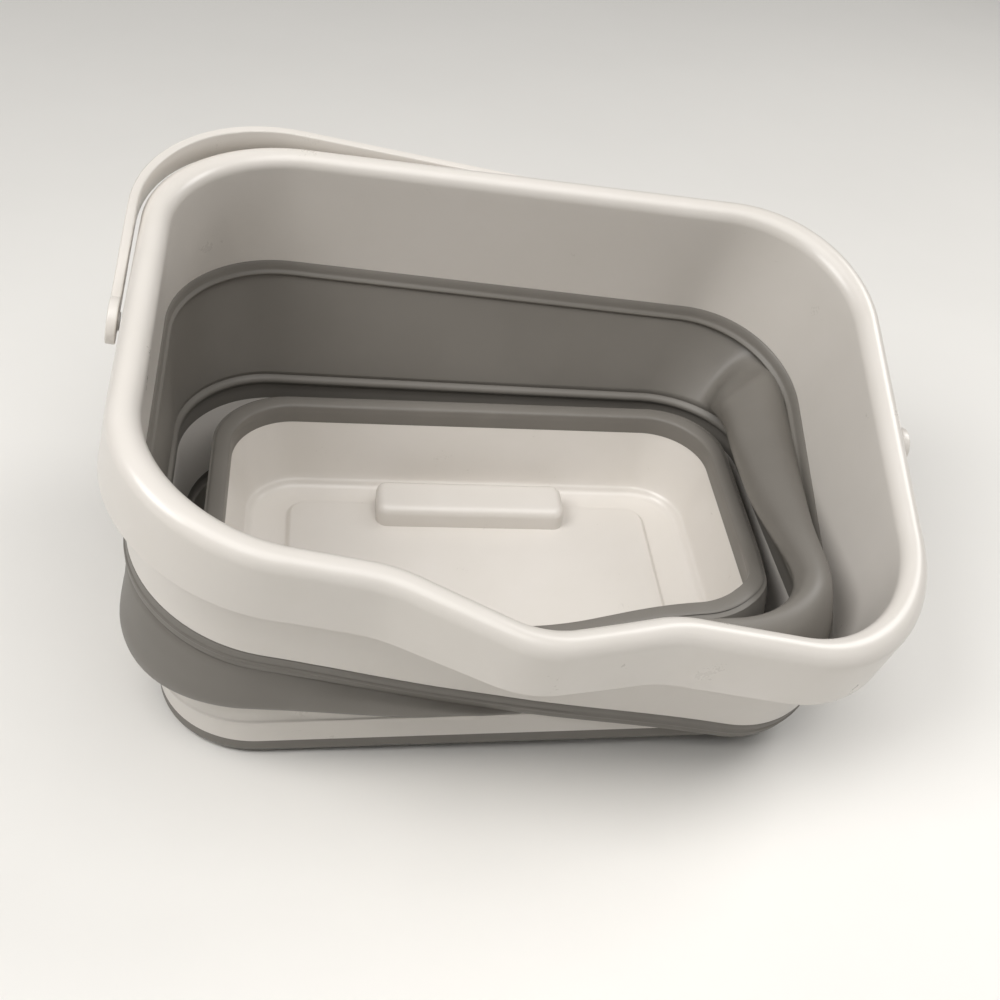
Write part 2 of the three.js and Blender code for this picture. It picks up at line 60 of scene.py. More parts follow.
def makeStations():
    sx, sy, angle = [], [], []
    sides = [((-1, -1), (1, -1), -90, steps["front"]), ((1, -1), (1, 1), 0, steps["side"]),
             ((1, 1), (-1, 1), 90, steps["back"]), ((-1, 1), (-1, -1), 180, steps["side"])]
    for start, end, normal, count in sides:
        for step in range(count):
            share = step / count
            sx.append(start[0] + (end[0] - start[0]) * share)
            sy.append(start[1] + (end[1] - start[1]) * share)
            angle.append(normal)
        for step in range(steps["corner"]):
            sx.append(end[0])
            sy.append(end[1])
            angle.append(normal + 90 * step / steps["corner"])
    angle = np.radians(np.array(angle, float))
    return {"sx": np.array(sx, float), "sy": np.array(sy, float), "cos": np.cos(angle), "sin": np.sin(angle),
            "front": np.isclose(angle, -math.pi / 2)}


stations = makeStations()
stationCount = len(stations["sx"])


def loopAt(halfLength, halfWidth, radius, level):
    x = stations["sx"] * (halfLength - radius) + radius * stations["cos"]
    y = stations["sy"] * (halfWidth - radius) + radius * stations["sin"]
    return np.stack([x, y, np.broadcast_to(np.asarray(level, float), x.shape)], 1)


def ringLoop(offset, level):
    halfLength = core["halfLength"] + core["radius"] + offset
    halfWidth = core["halfWidth"] + core["radius"] + offset
    return loopAt(halfLength, halfWidth, core["radius"] + core["growth"] * offset, level)


def headingOf(loop):  # degrees round the middle: 0 on the right, -90 at the front
    return np.degrees(np.arctan2(loop[:, 1], loop[:, 0]))


def smoothstep(value, low, high):
    t = np.clip((value - low) / (high - low), 0, 1)
    return t * t * (3 - 2 * t)


def between(a, b, c, d, t):  # smooth run from b to c, with a and d as their neighbours
    slope, curve, twist = c - a, 2 * a - 5 * b + 4 * c - d, 3 * b - a - 3 * c + d
    return 0.5 * (2 * b + slope * t + curve * t ** 2 + twist * t ** 3)


def roundLine(points, count):  # smooth line through a few spots
    points = np.array(points, float)
    padded = np.vstack([2 * points[0] - points[1], points, 2 * points[-1] - points[-2]])
    out = []
    for index in range(1, len(padded) - 2):
        out += [between(*padded[index - 1:index + 3], step / count) for step in range(count)]
    return np.array(out + [points[-1]])


# a skin over stacked loops; closed across means that the last loop meets the first
def loftPiece(name, loops, closedAcross=True, along=None, fillEnds=False):
    rows = [np.vstack([loop, loop[:1]]) for loop in loops]
    shares = list(along) if along is not None else [0.0] * len(rows)
    if closedAcross:
        rows.append(rows[0])
        shares.append(shares[0])
    bm = bmesh.new()
    bmesh.ops.create_grid(bm, x_segments=stationCount, y_segments=len(rows) - 1, size=1)
    layer = bm.verts.layers.float.new("along")
    bm.verts.ensure_lookup_table()
    width = stationCount + 1
    for row, loop in enumerate(rows):
        share = np.broadcast_to(np.asarray(shares[row], float), (stationCount,))
        for column in range(width):
            vert = bm.verts[row * width + column]
            x, y, z = loop[column]
            vert.co = (x * mm, (y + frameShift) * mm, z * mm)
            vert[layer] = share[column % stationCount]
    bmesh.ops.remove_doubles(bm, verts=bm.verts, dist=weldGap)
    bmesh.ops.dissolve_degenerate(bm, dist=weldGap / 2, edges=bm.edges)
    if fillEnds:
        bmesh.ops.holes_fill(bm, edges=[edge for edge in bm.edges if edge.is_boundary], sides=0)
    bmesh.ops.recalc_face_normals(bm, faces=bm.faces)
    return meshPiece(name, bm)


def meshPiece(name, bm):
    mesh = bpy.data.meshes.new(name)
    for face in bm.faces:
        face.smooth = True
    bm.to_mesh(mesh)
    bm.free()
    mesh.set_sharp_from_angle(angle=sharpAngle)
    piece = bpy.data.objects.new(name, mesh)
    bpy.context.scene.collection.objects.link(piece)
    return piece


def cutWith(piece, tool, operation):
    change = piece.modifiers.new(operation.lower(), "BOOLEAN")
    change.operation = operation
    change.solver = "EXACT"
    change.object = tool
    made = bpy.data.meshes.new_from_object(piece.evaluated_get(bpy.context.evaluated_depsgraph_get()))
    piece.modifiers.clear()
    piece.data = made
    bpy.data.objects.remove(tool)


# shader maths on sockets
class Sock:
    def __init__(self, tree, socket):
        self.tree = tree
        self.socket = socket

    def node(self, kind, settings=None, out=0, **inputs):
        made = self.tree.nodes.new(kind)
        for key, value in (settings or {}).items():
            setattr(made, key, value)
        for key, value in inputs.items():  # a name, or i and the socket's number
            numbered = key[0] == "i" and key[1:].isdigit()
            setInput(made.inputs[int(key[1:]) if numbered else key.replace("_", " ")], value)
        return Sock(self.tree, made.outputs[out])

    def math(self, operation, other, flip=False):
        a, b = (other, self) if flip else (self, other)
        return self.node("ShaderNodeMath", {"operation": operation}, i0=a, i1=b)

    def __add__(self, other):
        return self.math("ADD", other)

    def __radd__(self, other):
        return self.math("ADD", other, True)

    def __mul__(self, other):
        return self.math("MULTIPLY", other)

    def __rmul__(self, other):
        return self.math("MULTIPLY", other, True)


def setInput(target, value):  # a plain value or a link
    if isinstance(value, Sock):
        value.tree.links.new(value.socket, target)
    else:
        target.default_value = value


def linear(red, green, blue):
    def one(value):
        value /= 255
        return value / 12.92 if value <= 0.04045 else ((value + 0.055) / 1.055) ** 2.4
    return (one(red), one(green), one(blue), 1.0)


def newMaterial(name):  # with its shader's inputs and the object's own coordinates
    material = bpy.data.materials.new(name)
    material.use_nodes = True
    tree = material.node_tree
    place = Sock(tree, tree.nodes.new("ShaderNodeTexCoord").outputs["Object"])
    return material, tree.nodes["Principled BSDF"].inputs, place


def noise(place, scale, detail, rough):
    return place.node("ShaderNodeTexNoise", Vector=place, Scale=scale, Detail=detail, Roughness=rough)


def tint(value, low, high, shade, colour):  # from one colour to another
    mask = value.node("ShaderNodeMapRange", Value=value, From_Min=low, From_Max=high)
    return mask.node("ShaderNodeMix", {"data_type": "RGBA"}, 2, i0=mask,
                     i6=linear(*shade), i7=linear(*colour))


rigidLook = {"colour": (221, 216, 210), "shade": (217, 212, 205), "roughness": 0.29, "spread": 0.08,
             "bump": 0.008, "specular": 0.5, "coat": 0.12}
softLook = {"colour": (122, 118, 112), "shade": (116, 112, 106), "roughness": 0.44, "spread": 0.1,
            "bump": 0.03, "specular": 0.42, "coat": 0.0}


def mouldedMaterial(name, look):
    material, inputs, place = newMaterial(name)
    clouds = noise(place, 9.0, 4.0, 0.55)
    flow = noise(place, 38.0, 3.0, 0.6)
    grain = noise(place, 760.0, 1.0, 0.5)
    spread = look["spread"]
    least = look["roughness"] - spread * 0.62  # so that the mean is the look's own roughness
    gloss = flow * spread + grain * (spread * 0.25) + least
    bump = flow.node("ShaderNodeBump", Strength=look["bump"], Distance=0.0004, Height=flow)
    colour = tint(clouds * 0.7 + flow * 0.3, 0.36, 0.64, look["shade"], look["colour"])
    setInput(inputs["Base Color"], colour)
    setInput(inputs["Roughness"], gloss)
    setInput(inputs["Normal"], bump)
    setInput(inputs["Specular IOR Level"], look["specular"])
    setInput(inputs["Coat Weight"], look["coat"])
    setInput(inputs["Coat Roughness"], 0.2)
    return material


rigidPlastic = mouldedMaterial("lightMouldedPlastic", rigidLook)
softRubber = mouldedMaterial("greySoftRubber", softLook)


def dress(piece, material):
    piece.data.materials.clear()
    piece.data.materials.append(material)


print("stage 2: materials made")

# base tray: foot, sloping wall, gutter and raised floor plate with a rounded edge (out, up)
tray = {"height": 50.0, "floor": 12.0, "under": 9.0, "foot": -8.0, "footWidth": 5.0, "draft": 7.0,
        "plateLength": 97.0, "plateWidth": 55.0, "plateRadius": 9.0,
        "plateEdge": [(2.4, 0.0), (1.6, 0.25), (0.9, 1.0), (0.3, 2.0), (-0.4, 2.7), (-1.4, 3.0)]}
bar = {"length": 102.0, "depth": 25.0, "bottom": 10.2, "top": 27.2, "centreY": 48.0, "corner": 6.0,
       "edge": 5.0, "wall": 3.0, "gripTop": 23.0, "gripBottom": -6.0}


def roundedBlock(name, length, depth, bottom, top, corner, edge):  # at the finger bar's place
    bm = bmesh.new()
    bmesh.ops.create_cube(bm, size=1)
    bmesh.ops.scale(bm, vec=(length * mm, depth * mm, (top - bottom) * mm), verts=bm.verts)
    middle = (0, (bar["centreY"] + frameShift) * mm, (top + bottom) / 2 * mm)
    bmesh.ops.translate(bm, vec=middle, verts=bm.verts)
    upright = [e for e in bm.edges if abs(e.verts[0].co.z - e.verts[1].co.z) > weldGap / 2]
    bmesh.ops.bevel(bm, geom=upright, offset=corner * mm, segments=8, **rounding)
    highest = max(v.co.z for v in bm.verts)
    around = [e for e in bm.edges if all(v.co.z > highest - weldGap / 2 for v in e.verts)]
    bmesh.ops.bevel(bm, geom=around, offset=edge * mm, segments=7, **rounding)
    return meshPiece(name, bm)


def buildTray():
    draft, floor, foot = tray["draft"], tray["floor"], tray["foot"]
    footInner = foot - tray["footWidth"]
    outside = [(footInner - 2, tray["under"]), (footInner - 0.4, 1.8), (footInner + 0.1, 0.5),
               (footInner + 1, 0), (foot, 0), (foot + 1.6, 0.7), (foot + 2.6, 2), (foot + 3, 3.5),
               (core["wall"], tray["height"])]
    inside = roundLine([(0, tray["height"]), (-draft * 0.8, floor + 9), (-draft - 1, floor + 3.5),
                        (-draft - 3.5, floor + 0.8), (-draft - 8, floor)], 5)
    loops = [ringLoop(offset, level) for offset, level in outside + list(inside)]
    plate = np.array([tray["plateLength"], tray["plateWidth"], tray["plateRadius"]])
    loops += [loopAt(*(plate + out), floor + up) for out, up in tray["plateEdge"]]
    piece = loftPiece("baseTrayShell", loops, closedAcross=False, fillEnds=True)
    block = roundedBlock("fingerBar", bar["length"], bar["depth"], bar["bottom"], bar["top"],
                         bar["corner"], bar["edge"])
    cutWith(piece, block, "UNION")
    wall = bar["wall"]
    hollow = roundedBlock("fingerGrip", bar["length"] - 2 * wall, bar["depth"] - 2 * wall,
                          bar["gripBottom"], bar["gripTop"], bar["corner"] - wall / 2, bar["edge"] - wall)
    cutWith(piece, hollow, "DIFFERENCE")
    piece.data.set_sharp_from_angle(angle=sharpAngle)
    dress(piece, rigidPlastic)
    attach(piece, "base")
    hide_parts("base_tray")


buildTray()
print("stage 3: base tray")

# middle ring with its thin raised line (up, out), tilted and flexed a little where it sits
ring = {"offset": 23.0, "bottom": 10.0, "top": 46.0, "draft": 2.0, "collar": 17.0, "line": 24.0,
        "lineEdge": [(-1.3, 0), (-0.9, 0.25), (-0.5, 0.7), (0, 0.8), (0.5, 0.7), (0.9, 0.25), (1.3, 0)],
        "levelsBelow": (13, 16, 20), "levelsAbove": (29, 34, 40), "levelsInside": (40, 34, 28, 22, 16),
        "lift": 4.0, "shift": (-4.0, -3.0), "tilt": 1.4, "heading": -135.0, "twist": -5.0}


def turnAbout(angle, heading):  # a tilt about a level axis
    axis = Vector((math.cos(math.radians(heading)), math.sin(math.radians(heading)), 0))
    return np.array(Matrix.Rotation(math.radians(angle), 3, axis))


def spanOf(offset):  # half length times half width of a loop
    reach = core["radius"] + offset
    return (core["halfLength"] + reach) * (core["halfWidth"] + reach)


ringTurn = turnAbout(ring["tilt"], ring["heading"])
ringPlace = np.array([*ring["shift"], ring["lift"]])


def onRing(points, share=1.0):  # share 0 leaves a point on the base, share 1 moves it with the ring
    placed = np.array(points, float)
    placed[:, 2] += ring["twist"] * placed[:, 0] * placed[:, 1] / spanOf(ring["offset"])
    return points + (placed @ ringTurn.T + ringPlace - points) * share


def ringLean(level):
    share = (level - ring["bottom"]) / (ring["top"] - ring["bottom"])
    return ring["offset"] - ring["draft"] + ring["draft"] * share


def buildMiddleRing():
    outside = [(level, 0) for level in (ring["bottom"], *ring["levelsBelow"])]
    outside += [(ring["line"] + up, out) for up, out in ring["lineEdge"]]
    outside += [(level, 0) for level in (*ring["levelsAbove"], ring["top"])]
    loops = [ringLoop(ringLean(ring["bottom"]), ring["bottom"])]
    loops += [ringLoop(ringLean(level) + core["wall"] + out, level) for level, out in outside]
    loops += [ringLoop(ringLean(level), level) for level in (ring["top"], *ring["levelsInside"])]
    piece = loftPiece("middleRingShell", [onRing(loop) for loop in loops])
    dress(piece, rigidPlastic)
    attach(piece, "middle")
    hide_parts("middle_ring")


buildMiddleRing()

# lower fold band: up from the tray's edge, over a crest and down to the middle ring's foot
lower = {"seam": 0.1, "crestRise": 11.0, "crestWidth": 7.5, "floor": 1.0, "samples": 5,
         "heave": 11.0, "lean": 8.0, "pushGrows": (-95, -33), "pushFades": (-32, -8),  # between headings
         # counted in spots along the band
         "thickEnds": (0.9, 8.6), "crestEnd": 5, "ringStart": 8, "pushRises": (0, 2), "pushFalls": (4, 7)}


def thicken(line, widths):  # both sides of a line of (offset, level) spots
    ahead = np.vstack([line[1:], line[-1:]])
    behind = np.vstack([line[:1], line[:-1]])
    run = ahead - behind
    run /= np.linalg.norm(run, axis=1)[:, None]
    half = np.array(widths)[:, None] / 2
    side = np.stack([run[:, 1], -run[:, 0]], 1)
    return line + side * half, line - side * half


def setBlend(piece):  # bakes the piece's place into its mesh and reads each point's share of the band's own length
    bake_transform(piece)
    share = np.zeros(len(piece.data.vertices), np.float32)
    piece.data.attributes["along"].data.foreach_get("value", share)


def lowerBandSpots():
    soft, width, floor = core["softWall"], lower["crestWidth"], lower["floor"]
    start = core["wall"] / 2
    crest = tray["height"] + lower["crestRise"]
    outer = start + width
    end = ring["offset"] - ring["draft"] + core["wall"] / 2
    return [(start, tray["height"] + lower["seam"]), (start, crest - 2.7), (start + 0.7, crest - soft * 0.6),
            (start + width * 0.5, crest - soft / 2), (start + width * 0.88, crest - 1.9), (outer, crest - 5),
            (outer + 2.5, crest * 0.4), (end - 5, floor + 5), (end - 2, floor + soft * 0.62),
            (end, floor + 4), (end, ring["bottom"] - lower["seam"])]


def buildLowerBand():
    spots = lowerBandSpots()
    line = roundLine(spots, lower["samples"])
    span = np.linspace(0, len(spots) - 1, len(line))
    thickStart, thickEnd = lower["thickEnds"]
    widths = np.where((span < thickStart) | (span > thickEnd), core["wall"], core["softWall"])
    outer, inner = thicken(line, widths)
    length = np.concatenate([[0], np.cumsum(np.linalg.norm(np.diff(line, axis=0), axis=1))])
    low, high = np.interp([lower["crestEnd"], lower["ringStart"]], span, length)
    share = np.clip((length - low) / (high - low), 0, 1)
    moved = smoothstep(span, lower["crestEnd"], lower["ringStart"])
    heading = headingOf(ringLoop(0.0, 0.0))
    grown = smoothstep(heading, *lower["pushGrows"]) ** 2
    pushed = grown * (1 - smoothstep(heading, *lower["pushFades"]))  # by the pressed front right corner
    crestShare = smoothstep(span, *lower["pushRises"]) * (1 - smoothstep(span, *lower["pushFalls"]))

    def bandLoop(spot, index):
        push = pushed * crestShare[index]
        offset, level = spot[0] - lower["lean"] * push, spot[1] + lower["heave"] * push
        return onRing(ringLoop(offset, level), moved[index])

    loops = [bandLoop(outer[index], index) for index in range(len(line))]
    loops += [bandLoop(inner[index], index) for index in reversed(range(len(line)))]
    piece = loftPiece("lowerFoldBand", loops, along=list(share) + list(share[::-1]))
    dress(piece, softRubber)
    setBlend(piece)
    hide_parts("lower_fold_band")


buildLowerBand()
print("stage 4: middle ring and lower band")

# rim in its pressed pose: tilted, and flexed so that two opposite corners stand higher
rim = {"offset": 38.4, "wallHeight": 57.4, "wallLean": 2.4, "lipWidth": 13.2, "lipRise": 6.6,
       "skirtDrop": 28.0, "skirtFlare": 1.0, "skirtWall": 2.0, "apron": 17.0, "apronStep": 0.8, "strip": 12.0,
       "collar": 8.0, "collarWall": 1.6, "sag": 4.5, "sagReach": (15, 105),
       "height": 97.6, "shift": (6.3, -1.3), "tilt": 14.4, "heading": 39.1, "twist": 17.5}
spout = {"reach": 19.5, "centre": -10.0, "halfWidth": 58.0, "noseRound": 13.0, "endRound": 10.0,
         "foot": 16.0, "lift": 4.0}
rimTurn = turnAbout(rim["tilt"], rim["heading"])
rimPlace = np.array([*rim["shift"], rim["height"]])
rimSpan = spanOf(rim["offset"] + rim["wallLean"] + rim["lipWidth"])
apronFace = rim["offset"] + core["wall"] + rim["apronStep"]
fromSpout = np.abs(ringLoop(rim["offset"], 0.0)[:, 0] - spout["centre"])


def onRim(points, twisted=True):
    placed = np.array(points, float)
    if twisted:
        placed[:, 2] += rim["twist"] * placed[:, 0] * placed[:, 1] / rimSpan
    return placed @ rimTurn.T + rimPlace


def spoutShift(level, outside):  # a V with straight flanks, rounded at its nose and its ends
    nose, end = spout["noseRound"], spout["endRound"]
    blunt = np.where(fromSpout < nose, (fromSpout ** 2 + nose ** 2) / (2 * nose), fromSpout)
    left = spout["halfWidth"] - blunt
    reach = np.where(left < end, np.maximum(left + end, 0) ** 2 / (4 * end), left) / spout["halfWidth"]
    rise = 1.0 if outside else smoothstep(np.array(level), spout["foot"], rim["wallHeight"])
    return np.where(stations["front"], spout["reach"] * reach * rise, 0.0)


def sag(level):  # the apron's long front edge hangs a little
    depth = np.clip(-np.asarray(level) / rim["apron"], 0, 1)
    hang = rim["sag"] * (1 - smoothstep(fromSpout, *rim["sagReach"])) * depth
    return np.where(stations["front"], -hang, 0.0)


def rimLoop(offset, level, outside):
    shift = spoutShift(level, outside)
    lift = 0.0  # the skirt is shorter at the spout's nose
    if outside:
        depth = np.clip((rim["wallHeight"] - level) / rim["skirtDrop"], 0, 1)
        lift = spout["lift"] * shift / spout["reach"] * depth
    return onRim(ringLoop(offset + shift, level + sag(level) + lift))


def buildRim():
    height, apron = rim["wallHeight"], -rim["apron"]
    bottom = height - rim["skirtDrop"]
    seam = rim["offset"] + rim["collarWall"] - 0.1
    top = rim["offset"] + rim["wallLean"]
    back = top + core["wall"]  # the wall's hidden side under the lip
    half = rim["lipWidth"] / 2
    outer = top + rim["lipWidth"]
    hem = outer + rim["skirtFlare"]
    skirt = rim["skirtWall"]
    foot = apronFace + 0.2  # the wall leans out a little up to the skirt's edge
    wall = [(seam, apron), (apronFace - 0.5, apron), (apronFace, apron + 0.5), (apronFace, -8),
            (apronFace, 0), (apronFace + 0.1, 14), (foot, bottom)]
    wall += [(foot + (back - foot) * share, bottom + (height - 3 - bottom) * share) for share in (0.33, 0.66)]
    wall += [(back, height - 3)]
    lip = [(back + 1.2, height), (outer - skirt - 1.2, height), (outer - skirt, height - 3),
           (hem - skirt, bottom + 0.4), (hem - skirt + 0.5, bottom), (hem - 0.6, bottom), (hem, bottom + 0.6)]
    for share in (0.25, 0.5, 0.75):
        lip.append((outer + rim["skirtFlare"] * (1 - share), bottom + rim["skirtDrop"] * share))
    for angle in np.linspace(0, math.pi, 19):
        lip.append((top + half + half * math.cos(angle), height + rim["lipRise"] * math.sin(angle)))
    inside = [(rim["offset"] + rim["wallLean"] * share, height * share)
              for share in (0.92, 0.8, 0.65, 0.5, 0.35, 0.2, 0.08, 0)]
    loops = [rimLoop(*spot, False) for spot in wall] + [rimLoop(*spot, True) for spot in lip]
    loops += [rimLoop(*spot, False) for spot in inside + [(seam, 0)]]
    piece = loftPiece("rimFrameShell", loops)
    dress(piece, rigidPlastic)
    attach(piece, "rim")
    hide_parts("rim_frame")


buildRim()
print("stage 5: rim")

# upper fold band: a collar on the ring, a free fold, and a seat in the rim with a strip below the apron
upper = {"seam": 0.1, "inset": 0.3, "pocketInset": 0.3, "samples": 26,
         "splitReach": 115,  # to each side of the rim's tilt axis
         "splitFront": 0.9, "splitBack": 0.1, "splitLobe": 0.2,  # shares of the fold's run
         "lowBend": (0.5, 0.2), "highBend": (0.45, 0.8), "lobeBend": (0.42, 0.8),  # where bends start and end
         "lobeHold": ((-156, -134, -112, -95, -80), (0.62, 0.7, 0.8, 0.9, 1.0)),  # headings, shares
         "collarBead": [(0, 0), (0, 0.3), (0, 0.52), (-0.5, 0.59), (-1.1, 0.64), (-1.3, 0.7), (-1.1, 0.76),
                        (-0.4, 0.81), (0.3, 0.85), (0.8, 0.9), (0.6, 0.95)],  # out, share of the height
         "seatBead": [(0, 0.2), (-0.6, 0.5), (-1.1, 1.1), (-1.2, 1.7), (-0.9, 2.3), (0, 2.9), (0.5, 3.5),
                      (0.7, 4.4)],  # out, up
         "stripBead": [(0, -0.5), (0, -3), (0, -5.2), (0.4, -5.7), (0.6, -6.4), (0.4, -7.1), (0, -7.6),
                       (0, -9.5)],  # out, up
         # heading, drop of the seat, collar height, then four spots pushed off the straight line (out, up)
         "shapes": [(-170, 0, 1, 0, 0, 0, 0, 0, 0, 0, 0),  # straight on the left and the back
                    (-156, 1, 0.45, 4, -12, 8, -19, 8, -17, 4, -10),  # the lobe hangs below the apron
                    (-134, 1, 0.35, 2, -9, 6, -13, 7, -13, 5, -8),
                    (-112, 1, 0.4, 2, -7, 4, -13, 7, -12, 6, -4),
                    (-95, 1, 0.7, 2, -4, 4, -13, 5, -11, 5, -6),
                    (-80, 1, 1, 2, -3, 2, -9, 2, -12, 1, -7),  # tucked in behind the apron
                    (-60, 0, 1, -3, 13, -2, 23, 1, 20, 1, 8),  # the roll starts
                    (-45, 0, 1, -6, 15, -4, 29, 2, 27, 2, 10),
                    (-30, 0, 1, -8, 15, -7, 31, -2, 34, 0, 19),  # its highest place, at the front right
                    (-20, 0, 1, -12, 13, -13, 28, -5, 30, -1, 17),
                    (0, 0, 1, -17, 7, -18, 19, -9, 22, -2, 12),
                    (15, 0, 1, -16, 4, -21, 14, -11, 17, -4, 10),
                    (25, 0, 1, -14, 3, -20, 10, -13, 12, -5, 9),
                    (30, 0, 1, -11, 2, -14, 6, -8, 6, -3, 3),  # the roll's nose
                    (35, 0, 1, 0, 0, 0, 0, 0, 0, 0, 0)]}
stripFoot = -rim["apron"] - rim["strip"]


def foldShapes(heading):  # smooth through the rows, never past them
    table = np.array(upper["shapes"], float)
    run = np.diff(table[:, :1], axis=0)
    rate = np.diff(table, axis=0) / run
    product = np.maximum(rate[:-1] * rate[1:], 0)
    slope = np.zeros_like(table)
    slope[1:-1] = 2 * product / np.where(product > 0, rate[:-1] + rate[1:], 1)
    index = np.clip(np.searchsorted(table[:, 0], heading, side="left") - 1, 0, len(table) - 2)
    low, high = table[index], table[index + 1]
    t = np.clip((heading - low[:, 0]) / (high - low)[:, 0], 0, 1)[:, None]
    bend = slope[index] * (1 - t) - slope[index + 1] * t
    mixed = low + (high - low) * t * t * (3 - 2 * t) + run[index] * t * (1 - t) * bend
    return mixed[:, 1], mixed[:, 2], mixed[:, 3:].reshape(-1, 4, 2)


def upperBandCurve():
    soft = core["softWall"] / 2
    collarOffset = ring["offset"] + core["wall"] / 2
    drop, collar, pushes = foldShapes(headingOf(ringLoop(collarOffset, ring["top"])))
    collarTop = ring["top"] + ring["collar"] * collar
    flat = ringLoop(collarOffset, collarTop)
    start = onRing(flat)
    moved = start - flat
    seatOffset = (rim["offset"] - upper["inset"] - soft) * (1 - drop) + (rim["offset"] + 1) * drop
    seatLevel = -rim["collar"] * (1 - drop) + (stripFoot + 0.6) * drop
    end = onRim(ringLoop(seatOffset, seatLevel + sag(seatLevel)))
    normal = np.stack([stations["cos"], stations["sin"], np.zeros(stationCount)], 1)
    gap = end - start
    out = (gap * normal).sum(1)
    sideways = gap - normal * out[:, None]
    sideways[:, 2] = 0
    target = np.stack([out, gap[:, 2]], 1)
    pushed = [target * share + pushes[:, index] for index, share in enumerate((0.2, 0.4, 0.6, 0.8))]
    knots = [target * 0] + pushed + [target]
    knots = np.stack([2 * knots[0] - knots[1]] + knots + [2 * knots[-1] - knots[-2]], 1)
    spans = len(pushed) + 1
    rows = np.arange(stationCount)
    reach = 0.01  # to each side, for the way that the band runs

    def spot(t):  # the place at a share of the run, which may differ by station
        span = np.clip((t * spans).astype(int), 0, spans - 1)
        return between(*[knots[rows, span + index] for index in range(4)], (t * spans - span)[:, None])

    def sides(t):  # outer and inner face at a share of the run
        run = spot(np.minimum(t + reach, 1)) - spot(np.maximum(t - reach, 0))
        run *= soft / np.linalg.norm(run, axis=1)[:, None]
        here = spot(t)
        offset, level = collarOffset + here[:, 0], collarTop + here[:, 1]
        shift = moved + sideways * t[:, None]
        outerFace = ringLoop(offset + run[:, 1], level - run[:, 0]) + shift
        innerFace = ringLoop(offset - run[:, 1], level + run[:, 0]) + shift
        return outerFace, innerFace

    return sides, start, collar, drop, seatLevel


def bandSplit(start, drop):  # where the stretch that follows the first hinge ends
    heading = math.radians(rim["heading"])
    across = -math.sin(heading) * start[:, 0] + math.cos(heading) * start[:, 1]
    share = smoothstep(across, -upper["splitReach"], upper["splitReach"])
    split = upper["splitFront"] + (upper["splitBack"] - upper["splitFront"]) * share
    return split + (upper["splitLobe"] - split) * drop


def buildBandLow(sides, split, collar):  # the collar and the first stretch of the fold
    seam, count = upper["seam"], upper["samples"]
    limit, share = upper["lowBend"]
    places = [split * step / count for step in range(1, count + 1)]
    outer, inner = map(list, zip(*[sides(t) for t in places]))
    bend = [smoothstep(t, np.minimum(limit, split * share), split) for t in places]
    bottom = ring["top"] + seam
    height = ring["collar"] * collar - seam
    inside = [(out * collar, bottom + height * up) for out, up in upper["collarBead"]]
    outside = [(core["wall"], bottom + height * up) for up in (0.7, 0.35, 0)]
    collarIn, collarOut = [[onRing(ringLoop(ring["offset"] + out, level)) for out, level in spots]
                           for spots in (inside, outside)]
    still = np.zeros(stationCount)
    shares = [still] * len(collarIn) + bend + bend[::-1] + [still] * len(collarOut)
    piece = loftPiece("upperFoldBandLow", collarIn + inner + outer[::-1] + collarOut, along=shares)
    dress(piece, softRubber)
    setBlend(piece)


def seatSpots(drop, seatLevel):  # inside of the rim, round its lower edge and down the strip
    seam, apron = upper["seam"], -rim["apron"]
    face = rim["offset"] - upper["inset"] - core["softWall"]
    pocket = rim["offset"] + rim["collarWall"] - upper["pocketInset"]
    footOffset = rim["offset"] * (1 - drop) + (apronFace - 1.3) * drop
    underside = np.maximum(seatLevel - core["softWall"] / 2 - 1.2, stripFoot) - 0.1
    spots = [(face + out, seatLevel + up) for out, up in upper["seatBead"]]
    spots += [(rim["offset"] - 0.9, -0.8), (rim["offset"] - 0.2, -seam), (pocket, -seam),
              (pocket, apron - seam), (apronFace - 0.3, apron - seam)]
    spots += [(apronFace + out, apron + up) for out, up in upper["stripBead"]]
    spots += [(apronFace, stripFoot + 1), (apronFace - 0.3, stripFoot + 0.3), (apronFace - 1, stripFoot),
              (footOffset, stripFoot), (footOffset, underside)]
    return spots


def buildBandHigh(sides, split, drop, seatLevel):  # the rest of the fold, the seat and the strip
    count = upper["samples"]
    places = [split + (1 - split) * step / count for step in range(count)]
    outer, inner = map(list, zip(*[sides(t) for t in places]))
    limit, share = upper["highBend"]
    freeStart = np.maximum(np.minimum(limit, split + (1 - split) * share), split)
    heldBy, endStart = upper["lobeBend"]
    hold = np.interp(headingOf(ringLoop(ring["offset"], ring["top"])), *upper["lobeHold"])
    bend = []
    for t in places:
        free = smoothstep(t, freeStart, 1.0)
        held = hold * smoothstep(t, split, heldBy) + (1 - hold) * smoothstep(t, endStart, 1.0)
        bend.append(free + (held - free) * drop)  # the lobe stays under its strip
    seat = [onRim(ringLoop(offset, level + sag(level))) for offset, level in seatSpots(drop, seatLevel)]
    shares = bend + [np.ones(stationCount)] * len(seat) + bend[::-1]
    piece = loftPiece("upperFoldBandHigh", inner + seat + outer[::-1], along=shares)
    dress(piece, softRubber)
    setBlend(piece)
    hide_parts("upper_fold_band")


def buildUpperBand():
    sides, start, collar, drop, seatLevel = upperBandCurve()
    split = bandSplit(start, drop)
    buildBandLow(sides, split, collar)
    buildBandHigh(sides, split, drop, seatLevel)


buildUpperBand()
print("stage 6: upper band")

# bail handle: a strap with raised edges round the back of the rim, a lug at each end
bail = {"gap": 1.0, "thickness": 3.4, "height": 13.0, "level": 50.0, "pivotLevel": 47.0, "climb": 46.0,
        "lugRadius": 10.0, "lugRound": 0.7, "edge": 0.8, "hole": 4.3, "seatRadius": 6.8, "seatDepth": 1.8,
        "cutPast": 9.0}
skirtEdge = rim["offset"] + rim["wallLean"] + rim["lipWidth"] + rim["skirtFlare"]
strapOffset = skirtEdge + bail["gap"] + bail["thickness"] / 2
pivotX = core["halfLength"] + core["radius"] + strapOffset


